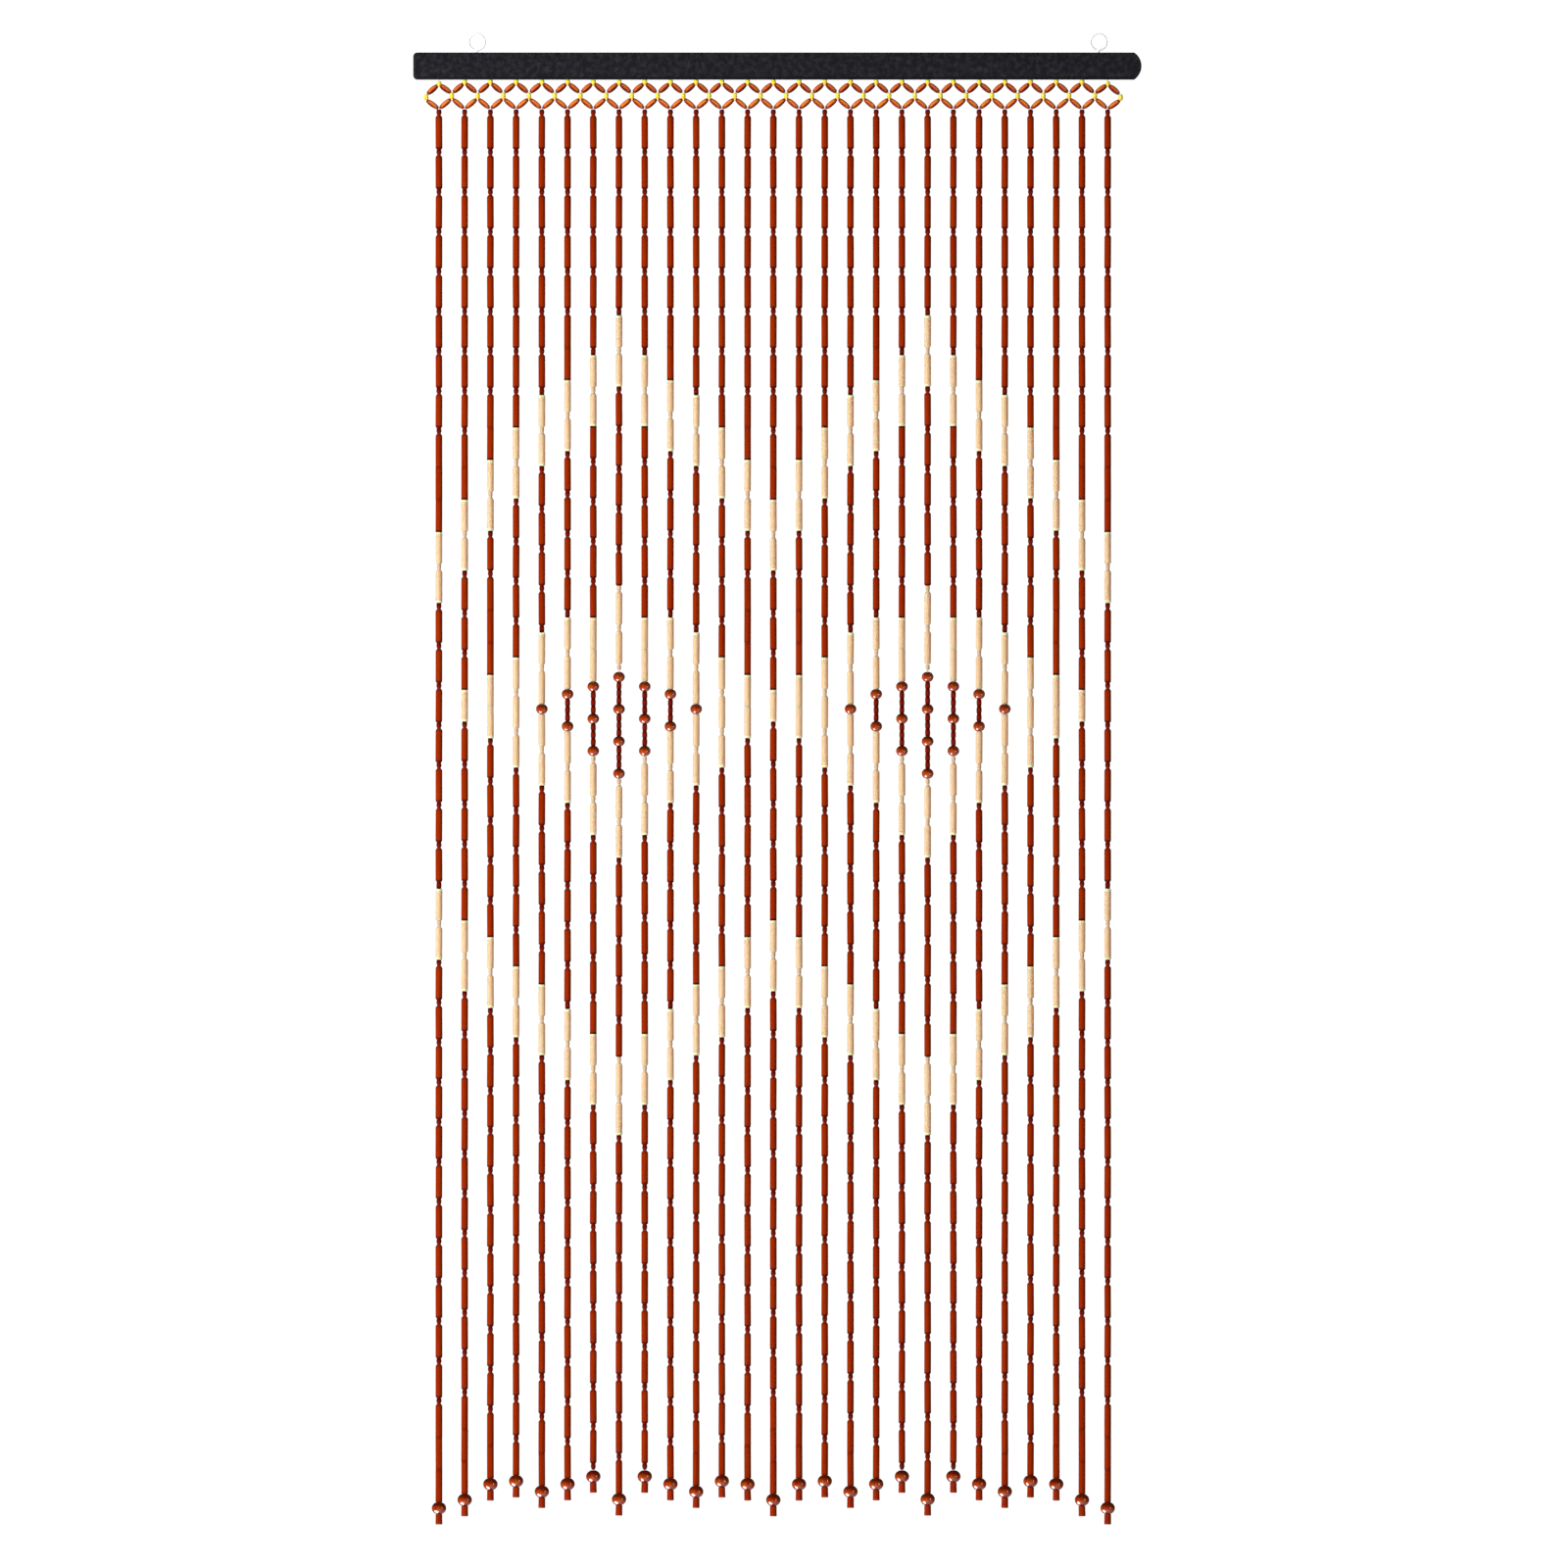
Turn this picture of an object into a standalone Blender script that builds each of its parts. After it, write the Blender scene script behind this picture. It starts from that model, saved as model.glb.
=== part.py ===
"""Bead curtain for a doorway: metres, +Z up, front towards -Y.

A black stained bar hangs on two screw eyes. Under it a net of small oval beads, joined by
yellow beads, carries 27 strings of wooden tube beads, each ending in a ball and a tail bead.
The origin is midway between the eyes, at the height where a hook bears inside their rings.
"""

import math
from collections import namedtuple

import bmesh
import bpy
from mathutils import Matrix, Vector

OBJECT_NAME = "bead_curtain"
CLEARANCE = 0.0003

# Screw eyes: a straight shank in the bar's top, bent over into a ring
EYE_SPAN = 0.7685
EYE_WIRE = 0.0026
EYE_OUTER = 0.0224
EYE_RISE = 0.0131
EYE_BEND = 0.0018
EYE_END_ANGLE = math.radians(13)
EYE_RING_STEPS = 22
EYE_BEND_STEPS = 4
SHANK_DEPTH = 0.0140
SHANK_HOLE_SIDES = 12
WIRE_SMOOTH_ANGLE = math.radians(50)

# Bar: a flat slat, its left end cut square and its right end domed
BAR_LENGTH = 0.900
BAR_HEIGHT = 0.0333
BAR_DEPTH = 0.0140
BAR_SHIFT = -0.0127
BAR_ARRIS = 0.0025
ARRIS_SEGMENTS = 3
ARRIS_EDGE_ANGLE = math.radians(60)
LEFT_CORNER = 0.0050
RIGHT_DOME = 0.0090
CORNER_STEPS = 3
DOME_STEPS = 8

# Net: heights are drops below the bar's underside
STRING_COUNT = 27
STRING_PITCH = 0.03179
STRING_SHIFT = -0.0177
TOP_BEAD_HEIGHT = 0.0068
LOW_BEAD_HEIGHT = 0.0085
TOP_BEAD_WIDTH = 0.0068
LOW_BEAD_WIDTH = 0.0056
YELLOW_RIM_SHARE = 0.7
LOW_BEAD_DROP = 0.0201
HOLE_REACH = 0.0029
ROOT_DROP = 0.0364
OUTER_DROOP = 0.0020
UPPER_OVAL_WIDTH = 0.0064
LOWER_OVAL_WIDTH = 0.0057
OVAL_END_GAP = 0.0008
OVAL_BELLY_SHARE = 1 / 3

# Strings: a bead's length along its string, by its letter in the chart
BEAD_LENGTH = {
    "T": 0.0400,
    "s": 0.0092,
    "t": 0.0390,
    "p": 0.0094,
    "B": 0.0140,
    "e": 0.0086,
}
FIRST_BEAD_DROP = 0.0365
TUBE_WIDTH = 0.0085
SPACER_WIDTH = 0.0056
SEED_WIDTH = 0.0060
BALL_WIDTH = 0.0150
END_BALL_HEIGHT = 0.0150
END_BALL_WIDTH = 0.0180
TAIL_LENGTH = 0.0125
TAIL_WIDTH = 0.0084
BALL_SHOULDER = 0.3
MOTIF_STRINGS = (7, 19)

# A square bar stands for a round string: its sides lie between equal width and equal area
SIDES = 4
SQUARE_SHARE = 0.94

# How each string is threaded, top to bottom: T dark tube, s dark spacer, t pale tube,
# p pale spacer, B ball, e seed bead; 5*Ts is five times Ts. The first row is a lozenge's
# middle string, and each further row is one string farther from it.
Chart = namedtuple(
    "Chart", "upper_field upper_side upper_inside heart lower_inside lower_side lower_field"
)
CHARTS = (
    Chart("s 5*Ts", "tpt", "s 4*Ts T", "ptptp B 3*eeeB ptpt", "s 4*Ts T", "ptpt", "s 8*Ts T"),
    Chart("s 6*Ts", "tpt", "4*Ts T", "tt B 2*eeeB ptpt", "s 4*Ts T", "tpt", "s 9*Ts"),
    Chart("s 5*Ts TT", "tpt", "s 4*Ts", "tpt B eeeB tpt", "s 5*Ts", "tpt", "s 9*Ts T"),
    Chart("s 7*Ts", "tpt", "s 4*Ts", "tpt B tpt", "s 4*Ts T", "tpt", "s 9*Ts TT"),
    Chart("s 7*Ts T", "tpt", "s 3*Ts T", "tptpt", "s 4*Ts T", "tpt", "s 10*Ts T"),
    Chart("s 7*Ts TT", "tpt", "s Ts TTT", "tt", "s 4*Ts T", "tpt", "s 10*Ts TT"),
    Chart("s 8*Ts TT", "tpt", "s 2*Ts T", "t", "s 4*Ts T", "tpt", "s 10*Ts TTT"),
    Chart("s 8*Ts TTT", "tpt", "s 7*Ts", "", "", "tpt", "s 11*Ts TTT"),
)

# Worked out from the sizes above
RING_RADIUS = (EYE_OUTER - EYE_WIRE) / 2
BAR_TOP = -(EYE_RISE + RING_RADIUS - EYE_WIRE / 2)
BAR_BOTTOM = BAR_TOP - BAR_HEIGHT
BAR_LEFT = BAR_SHIFT - BAR_LENGTH / 2
BAR_RIGHT = BAR_SHIFT + BAR_LENGTH / 2


def clear_scene():
    for obj in list(bpy.data.objects):
        bpy.data.objects.remove(obj, do_unlink=True)


def make_collection(name):
    collection = bpy.data.collections.new(name)
    bpy.context.scene.collection.children.link(collection)
    return collection


def make_material(name, colour, roughness, metallic):
    material = bpy.data.materials.new(name)
    material.use_nodes = True
    shader = material.node_tree.nodes["Principled BSDF"]
    shader.inputs["Base Color"].default_value = (*colour, 1.0)
    shader.inputs["Roughness"].default_value = roughness
    shader.inputs["Metallic"].default_value = metallic
    material.diffuse_color = (*colour, 1.0)
    return material


def add_object(name, mesh, collection):
    obj = bpy.data.objects.new(name, mesh)
    collection.objects.link(obj)
    return obj


def evaluated_mesh(obj):
    """The object's mesh with its modifiers applied and its loose caps welded."""
    depsgraph = bpy.context.evaluated_depsgraph_get()
    depsgraph.update()
    mesh = bpy.data.meshes.new_from_object(obj.evaluated_get(depsgraph))
    shape = bmesh.new()
    shape.from_mesh(mesh)
    bmesh.ops.remove_doubles(shape, verts=shape.verts, dist=1e-6)
    shape.to_mesh(mesh)
    shape.free()
    return mesh


def mesh_from_curve(name, curve, collection):
    """Turn a curve object into a mesh object of the same name and place."""
    mesh = evaluated_mesh(curve)
    place = curve.matrix_world.copy()
    bpy.data.objects.remove(curve, do_unlink=True)
    obj = add_object(name, mesh, collection)
    obj.matrix_world = place
    return obj


def subtract(target, cutter):
    cutter.hide_render = True
    cutter.display_type = "WIRE"
    cut = target.modifiers.new(cutter.name, "BOOLEAN")
    cut.operation = "DIFFERENCE"
    cut.solver = "EXACT"
    cut.object = cutter


# Screw eyes

def eye_wire_points():
    """The wire's middle line in the plane of the ring, from the shank's foot to the ring's end.

    The height is 0 at the bar's top. The shank's bend and the ring touch with one tangent.
    """
    bend_height = EYE_RISE - math.sqrt((RING_RADIUS + EYE_BEND) ** 2 - EYE_BEND ** 2)
    points = [(0.0, -SHANK_DEPTH), (0.0, -SHANK_DEPTH / 2), (0.0, 0.0)]
    turn = math.atan2(EYE_RISE - bend_height, EYE_BEND)
    for i in range(EYE_BEND_STEPS):
        angle = math.pi - turn * i / EYE_BEND_STEPS
        points.append((
            EYE_BEND + EYE_BEND * math.cos(angle),
            bend_height + EYE_BEND * math.sin(angle),
        ))
    start = -turn
    end = 1.5 * math.pi - EYE_END_ANGLE
    for i in range(EYE_RING_STEPS + 1):
        angle = start + (end - start) * i / EYE_RING_STEPS
        points.append((
            RING_RADIUS * math.cos(angle),
            EYE_RISE + RING_RADIUS * math.sin(angle),
        ))
    return points


def make_screw_eye(name, x, material, collection):
    data = bpy.data.curves.new(name + "_wire", "CURVE")
    data.dimensions = "3D"
    data.bevel_depth = EYE_WIRE / 2
    data.bevel_resolution = 2
    data.use_fill_caps = True
    points = eye_wire_points()
    spline = data.splines.new("POLY")
    spline.points.add(len(points) - 1)
    for point, (across, height) in zip(spline.points, points):
        point.co = (across, 0.0, height, 1.0)
    curve = add_object(name + "_wire", data, collection)
    curve.location = (x, 0.0, BAR_TOP)
    eye = mesh_from_curve(name, curve, collection)
    eye.data.materials.append(material)
    eye.data.shade_smooth()
    eye.data.set_sharp_from_angle(angle=WIRE_SMOOTH_ANGLE)
    return eye


# Bar

def arc(centre, radius, start, end, steps):
    """Points along an arc in the bar's face, angles in radians from +X towards +Z."""
    points = []
    for i in range(steps + 1):
        angle = start + (end - start) * i / steps
        points.append((
            centre[0] + radius * math.cos(angle),
            centre[1] + radius * math.sin(angle),
        ))
    return points


def bar_outline():
    """The slat's face, anticlockwise from its lower left corner."""
    middle = (BAR_TOP + BAR_BOTTOM) / 2
    half = BAR_HEIGHT / 2
    dome_radius = (half ** 2 + RIGHT_DOME ** 2) / (2 * RIGHT_DOME)
    dome_angle = math.asin(half / dome_radius)
    lower_corner = (BAR_LEFT + LEFT_CORNER, BAR_BOTTOM + LEFT_CORNER)
    upper_corner = (BAR_LEFT + LEFT_CORNER, BAR_TOP - LEFT_CORNER)
    outline = arc(lower_corner, LEFT_CORNER, math.pi, 1.5 * math.pi, CORNER_STEPS)
    outline += arc((BAR_RIGHT - dome_radius, middle), dome_radius, -dome_angle, dome_angle, DOME_STEPS)
    outline += arc(upper_corner, LEFT_CORNER, 0.5 * math.pi, math.pi, CORNER_STEPS)
    return outline


def make_bar(material, collection, cutters):
    data = bpy.data.curves.new("bar_face", "CURVE")
    data.dimensions = "2D"
    data.fill_mode = "BOTH"
    data.extrude = BAR_DEPTH / 2
    outline = bar_outline()
    spline = data.splines.new("POLY")
    spline.points.add(len(outline) - 1)
    spline.use_cyclic_u = True
    for point, (x, z) in zip(spline.points, outline):
        point.co = (x, z, 0.0, 1.0)
    curve = add_object("bar_face", data, collection)
    curve.rotation_euler = (math.radians(90), 0.0, 0.0)
    bar = mesh_from_curve("top_bar", curve, collection)
    bar.data.materials.append(material)
    arris = bar.modifiers.new("arris", "BEVEL")
    arris.width = BAR_ARRIS
    arris.segments = ARRIS_SEGMENTS
    arris.limit_method = "ANGLE"
    arris.angle_limit = ARRIS_EDGE_ANGLE
    for side in (-1, 1):
        subtract(bar, make_pilot_hole(side, cutters))
    return bar


def make_pilot_hole(side, cutters):
    """The hole that an eye's shank sits in, open at the bar's top."""
    depth = SHANK_DEPTH + CLEARANCE
    radius = (EYE_WIRE / 2 + CLEARANCE) / math.cos(math.pi / SHANK_HOLE_SIDES)
    mesh = bpy.data.meshes.new("pilot_hole")
    shape = bmesh.new()
    bmesh.ops.create_cone(
        shape,
        cap_ends=True,
        segments=SHANK_HOLE_SIDES,
        radius1=radius,
        radius2=radius,
        depth=2 * depth,
    )
    shape.to_mesh(mesh)
    shape.free()
    cutter = add_object("pilot_hole_left" if side < 0 else "pilot_hole_right", mesh, cutters)
    cutter.location = (side * EYE_SPAN / 2, 0.0, BAR_TOP)
    return cutter


# Net and strings

def square_turned(profile):
    """A closed bar of square section, turned from (half width, height) points, top to bottom."""
    mesh = bpy.data.meshes.new("profile")
    corners = [(half_width, half_width, height) for half_width, height in profile]
    edges = [(i, i + 1) for i in range(len(corners) - 1)]
    mesh.from_pydata(corners, edges, [])
    obj = add_object("profile", mesh, bpy.context.scene.collection)
    screw = obj.modifiers.new("turn", "SCREW")
    screw.axis = "Z"
    screw.angle = math.tau
    screw.steps = SIDES
    screw.render_steps = SIDES
    screw.use_merge_vertices = True
    screw.merge_threshold = 1e-5
    screw.use_smooth_shade = False
    turned = evaluated_mesh(obj)
    bpy.data.objects.remove(obj, do_unlink=True)
    return turned


def yellow_bead(width, height):
    """A small barrel bead, standing on its hole."""
    belly = width * SQUARE_SHARE / 2
    rim = belly * YELLOW_RIM_SHARE
    half = height / 2
    return square_turned([(0, half), (rim, half), (belly, 0), (rim, -half), (0, -half)])


def oval_bead(width, length):
    """An oval bead with its thread, pointed where it runs into the beads at its ends."""
    belly = width * SQUARE_SHARE / 2
    half = length / 2
    full = half * OVAL_BELLY_SHARE
    return square_turned([(0, half), (belly, full), (belly, -full), (0, -half)])


def spelled_out(words):
    """The letters of a chart entry such as 's 5*Ts', with its repeats written out."""
    letters = ""
    for word in words.split():
        count, _, beads = word.rpartition("*")
        letters += beads * int(count or 1)
    return letters


def string_stretches(chart):
    """The string from its root down: (width, length, is a ball) for each stretch of one width."""
    letters = "".join(spelled_out(words) for words in chart)
    stretches = [(SPACER_WIDTH, BEAD_LENGTH["s"], False)]
    for letter in letters[1:]:
        width = {"B": BALL_WIDTH, "e": SEED_WIDTH}.get(letter, TUBE_WIDTH)
        length = BEAD_LENGTH[letter]
        if stretches[-1][0] == width:
            length += stretches.pop()[1]
        stretches.append((width, length, letter == "B"))
    stretches.append((END_BALL_WIDTH, END_BALL_HEIGHT, True))
    stretches.append((TAIL_WIDTH, TAIL_LENGTH, False))
    return stretches


def bead_string(chart):
    """One string as a square bar, with its balls as bulges; its height is 0 at its first bead."""
    root_top = FIRST_BEAD_DROP - ROOT_DROP + SPACER_WIDTH / 2
    profile = [(0.0, root_top), (SPACER_WIDTH * SQUARE_SHARE / 2, root_top)]
    height = 0.0
    for width, length, is_ball in string_stretches(chart):
        half_width = width * SQUARE_SHARE / 2
        if is_ball:
            shoulder = length * BALL_SHOULDER
            profile.append((half_width, height - shoulder))
            profile.append((half_width, height - length + shoulder))
        else:
            if height < 0:
                profile.append((half_width, height))
            profile.append((half_width, height - length))
        height -= length
    profile.append((0.0, height))
    return square_turned(profile)


def string_x(index):
    return STRING_SHIFT + (index - (STRING_COUNT - 1) / 2) * STRING_PITCH


def droop(index, last):
    """The net's outermost beads hang a little lower."""
    return OUTER_DROOP if index in (0, last) else 0.0


def top_bead_place(index):
    drop = CLEARANCE + TOP_BEAD_HEIGHT / 2 + droop(index, STRING_COUNT - 1)
    return Vector((string_x(index), 0.0, BAR_BOTTOM - drop))


def low_bead_place(index):
    drop = LOW_BEAD_DROP + droop(index, STRING_COUNT)
    return Vector((string_x(index) - STRING_PITCH / 2, 0.0, BAR_BOTTOM - drop))


def root_place(index):
    return Vector((string_x(index), 0.0, BAR_BOTTOM - ROOT_DROP))


def joined(name, pieces, collection):
    """One object from copies of meshes, each given with its place."""
    shape = bmesh.new()
    for mesh, place in pieces:
        first = len(shape.verts)
        shape.from_mesh(mesh)
        shape.verts.ensure_lookup_table()
        bmesh.ops.transform(shape, matrix=place, verts=shape.verts[first:])
    mesh = bpy.data.meshes.new(name)
    shape.to_mesh(mesh)
    shape.free()
    return add_object(name, mesh, collection)


def oval_between(upper, lower, width):
    """An oval bead on the line between two places, its points just short of both."""
    line = lower - upper
    mesh = oval_bead(width, line.length - 2 * OVAL_END_GAP)
    turn = Matrix.Rotation(math.atan2(line.x, line.z), 4, "Y")
    return mesh, Matrix.Translation((upper + lower) / 2) @ turn


def make_ovals(collection):
    """The net's oval beads: two from each top bead, and two down to each string's root.

    Their threads go into a low bead's upper hole and come out of its lower one.
    """
    hole = Vector((0.0, 0.0, HOLE_REACH))
    pieces = []
    for index in range(STRING_COUNT):
        for low in (low_bead_place(index), low_bead_place(index + 1)):
            pieces.append(oval_between(top_bead_place(index), low + hole, UPPER_OVAL_WIDTH))
            pieces.append(oval_between(low - hole, root_place(index), LOWER_OVAL_WIDTH))
    return joined("net_ovals", pieces, collection)


def make_bead_net(material, collection, cutters):
    top_bead = yellow_bead(TOP_BEAD_WIDTH, TOP_BEAD_HEIGHT)
    low_bead = yellow_bead(LOW_BEAD_WIDTH, LOW_BEAD_HEIGHT)
    strings = [bead_string(chart) for chart in CHARTS]
    pieces = []
    for index in range(STRING_COUNT):
        away = min(abs(index - middle) for middle in MOTIF_STRINGS)
        first_bead = Vector((string_x(index), 0.0, BAR_BOTTOM - FIRST_BEAD_DROP))
        pieces.append((top_bead, Matrix.Translation(top_bead_place(index))))
        pieces.append((strings[away], Matrix.Translation(first_bead)))
    for index in range(STRING_COUNT + 1):
        pieces.append((low_bead, Matrix.Translation(low_bead_place(index))))
    net = joined("bead_net", pieces, collection)
    net.data.materials.append(material)
    ovals = make_ovals(cutters)
    ovals.hide_render = True
    ovals.display_type = "WIRE"
    fuse = net.modifiers.new("ovals", "BOOLEAN")
    fuse.operation = "UNION"
    fuse.solver = "EXACT"
    fuse.object = ovals
    return net


def make_curtain():
    clear_scene()
    curtain = make_collection(OBJECT_NAME)
    cutters = make_collection("cutters")
    black_wood = make_material("black_wood", (0.020, 0.019, 0.025), 0.6, 0.0)
    steel_wire = make_material("steel_wire", (0.78, 0.78, 0.80), 0.3, 0.9)
    red_wood = make_material("red_wood", (0.38, 0.045, 0.004), 0.35, 0.0)
    make_bar(black_wood, curtain, cutters)
    make_screw_eye("screw_eye_left", -EYE_SPAN / 2, steel_wire, curtain)
    make_screw_eye("screw_eye_right", EYE_SPAN / 2, steel_wire.copy(), curtain)
    make_bead_net(red_wood, curtain, cutters)


make_curtain()
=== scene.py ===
"""The looks of a bead curtain that hangs from a black bar on two screw eyes, in metres, +Z up."""

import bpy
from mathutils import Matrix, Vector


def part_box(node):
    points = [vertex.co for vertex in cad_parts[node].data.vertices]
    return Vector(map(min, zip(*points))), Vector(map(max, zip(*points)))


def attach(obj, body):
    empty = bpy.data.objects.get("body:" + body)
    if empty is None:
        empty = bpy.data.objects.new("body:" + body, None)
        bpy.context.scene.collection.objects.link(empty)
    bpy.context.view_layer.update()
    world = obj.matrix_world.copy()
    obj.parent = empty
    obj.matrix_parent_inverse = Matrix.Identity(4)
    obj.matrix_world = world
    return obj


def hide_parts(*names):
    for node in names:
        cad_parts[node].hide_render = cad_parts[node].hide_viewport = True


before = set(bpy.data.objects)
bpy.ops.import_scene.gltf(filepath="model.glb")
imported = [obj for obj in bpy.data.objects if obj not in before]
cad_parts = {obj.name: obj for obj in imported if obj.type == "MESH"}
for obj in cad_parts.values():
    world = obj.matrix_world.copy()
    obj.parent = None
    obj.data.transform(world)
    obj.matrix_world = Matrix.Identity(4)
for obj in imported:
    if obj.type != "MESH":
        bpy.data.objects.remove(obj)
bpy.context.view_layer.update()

import math
import random

import bmesh
import bpy
from mathutils import Matrix, Vector


# The top bar
# A slat of planed softwood, stained black and rubbed down with a cloth. Its arrises are eased,
# its left end is cut square with the corners rounded, and its right end is rounded over.
bar_low, bar_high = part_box("top_bar")
bar_middle = (bar_low + bar_high) / 2
bar_half_height = (bar_high.z - bar_low.z) / 2
bar_depth = bar_high.y - bar_low.y
dome_rise = 0.009
dome_radius = (bar_half_height ** 2 + dome_rise ** 2) / (2 * dome_rise)
dome_start = bar_high.x - dome_rise
square_corner = 0.005
arris = 0.0025
welding = 0.0001
tiny = 1e-5
wire_radius = 0.0013
shank_clearance = 0.0003


def deselect_all():
    """Select nothing in the scene, so that the next operators act on new work alone."""
    for obj in bpy.context.selected_objects:
        obj.select_set(False)


def edit(obj, kind):
    """Open a mesh for editing its faces, edges or vertices, with nothing in it selected."""
    deselect_all()
    obj.select_set(True)
    bpy.context.view_layer.objects.active = obj
    bpy.ops.object.mode_set(mode="EDIT")
    bpy.ops.mesh.select_mode(type=kind)
    bpy.ops.mesh.select_all(action="DESELECT")


def pick(obj, kind, wanted):
    """Select the faces or edges of the open mesh that a test accepts, and no others."""
    bpy.ops.mesh.select_mode(type=kind)
    bpy.ops.mesh.select_all(action="DESELECT")
    shape = bmesh.from_edit_mesh(obj.data)
    shape.normal_update()
    for element in {"FACE": shape.faces, "EDGE": shape.edges}[kind]:
        if wanted(element):
            element.select_set(True)
    shape.select_flush_mode()
    bmesh.update_edit_mesh(obj.data)


def close_edit(smooth_angle):
    """Turn the open mesh's faces outwards, go back to object mode and shade its round faces."""
    bpy.ops.mesh.select_all(action="SELECT")
    bpy.ops.mesh.normals_make_consistent(inside=False)
    bpy.ops.object.mode_set(mode="OBJECT")
    bpy.ops.object.shade_smooth_by_angle(angle=math.radians(smooth_angle))


def hand_in(piece, node, material):
    """Give a finished piece its material, and tie it to the frame."""
    piece.data.materials.clear()
    piece.data.materials.append(material)
    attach(piece, "root")
    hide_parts(node)


deselect_all()
bpy.ops.mesh.primitive_cylinder_add(
    vertices=76,
    radius=dome_radius,
    depth=bar_depth,
    location=(bar_high.x - dome_radius, bar_middle.y, bar_middle.z),
    rotation=(math.radians(90), 0, 0),
)
bar = bpy.context.object
bar.name = "stained_bar"
bpy.ops.object.transform_apply(location=True, rotation=True, scale=True)
edit(bar, "FACE")
bpy.ops.mesh.select_all(action="SELECT")
bpy.ops.mesh.bisect(
    plane_co=(dome_start, 0, 0), plane_no=(1, 0, 0), use_fill=True, clear_inner=True
)
bpy.ops.mesh.select_all(action="SELECT")
bpy.ops.mesh.remove_doubles(threshold=welding)
pick(bar, "FACE", lambda face: face.normal.x < -0.9)
bpy.ops.mesh.extrude_region_move(
    TRANSFORM_OT_translate={"value": (bar_low.x - dome_start, 0, 0)}
)
bpy.ops.mesh.select_all(action="SELECT")
bpy.ops.mesh.dissolve_limited(angle_limit=math.radians(0.5))


def is_left_corner(edge):
    """Whether an edge runs from front to back at the left end, where welding may have moved it."""
    ends = [vert.co for vert in edge.verts]
    at_left = all(abs(end.x - bar_low.x) < 2 * welding for end in ends)
    return at_left and abs(ends[0].z - ends[1].z) < tiny


pick(bar, "EDGE", is_left_corner)
bpy.ops.mesh.bevel(offset=square_corner, segments=8)
pick(bar, "EDGE", lambda edge: edge.calc_face_angle(0) > math.radians(80))
bpy.ops.mesh.bevel(offset=arris, segments=5)
close_edit(30)


def drill_bar(eye_node):
    """Cut the blind hole that a screw eye's shank sits in."""
    low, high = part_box(eye_node)
    deselect_all()
    bpy.ops.mesh.primitive_cylinder_add(
        vertices=24,
        radius=wire_radius + shank_clearance,
        depth=2 * (bar_high.z - low.z + shank_clearance),
        location=((low.x + high.x) / 2, 0, bar_high.z),
    )
    drill = bpy.context.object
    hole = bar.modifiers.new("shank hole", "BOOLEAN")
    hole.operation = "DIFFERENCE"
    hole.object = drill
    bpy.context.view_layer.objects.active = bar
    bpy.ops.object.modifier_apply(modifier=hole.name)
    bpy.data.objects.remove(drill, do_unlink=True)


drill_bar("screw_eye_left")
drill_bar("screw_eye_right")


def add_node(tree, kind, settings=None, **inputs):
    """Add a shader node; an input is a value, or another node's output to link to it."""
    node = tree.nodes.new("ShaderNode" + kind)
    for name, value in (settings or {}).items():
        setattr(node, name, value)
    for name, value in inputs.items():
        feed(tree, node.inputs[name.replace("_", " ")], value)
    return node


def feed(tree, socket, value):
    """Set a socket to a value, or link it to another node's output."""
    if isinstance(value, bpy.types.NodeSocket):
        tree.links.new(value, socket)
    else:
        socket.default_value = value


def new_material(name, **surface):
    """A material with a Principled shader, and the values that are the same all over it."""
    material = bpy.data.materials.new(name)
    material.use_nodes = True
    tree = material.node_tree
    shader = tree.nodes["Principled BSDF"]
    for socket, value in surface.items():
        shader.inputs[socket.replace("_", " ")].default_value = value
    return material, tree, shader


def mix_colours(tree, share, first, second):
    """Blend two colours, each a colour or a node's output, by a share from 0 to 1.

    The Mix node keeps its colours at inputs 6 and 7, and gives theirs at output 2.
    """
    mix = add_node(tree, "Mix", {"data_type": "RGBA"})
    feed(tree, mix.inputs[0], share)
    feed(tree, mix.inputs[6], first)
    feed(tree, mix.inputs[7], second)
    return mix.outputs[2]


def calculate(tree, operation, first, second=0.0):
    node = add_node(tree, "Math", {"operation": operation})
    feed(tree, node.inputs[0], first)
    feed(tree, node.inputs[1], second)
    return node.outputs[0]


def remap(tree, value, low, high, to_low=0.0, to_high=1.0):
    """Stretch a range of a value to another range, and hold it at the ends."""
    node = add_node(
        tree, "MapRange", Value=value, From_Min=low, From_Max=high, To_Min=to_low, To_Max=to_high
    )
    return node.outputs["Result"]


def add_bump(tree, shader, height, strength, distance):
    bump = add_node(tree, "Bump", Height=height, Strength=strength, Distance=distance)
    tree.links.new(bump.outputs["Normal"], shader.inputs["Normal"])


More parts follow.
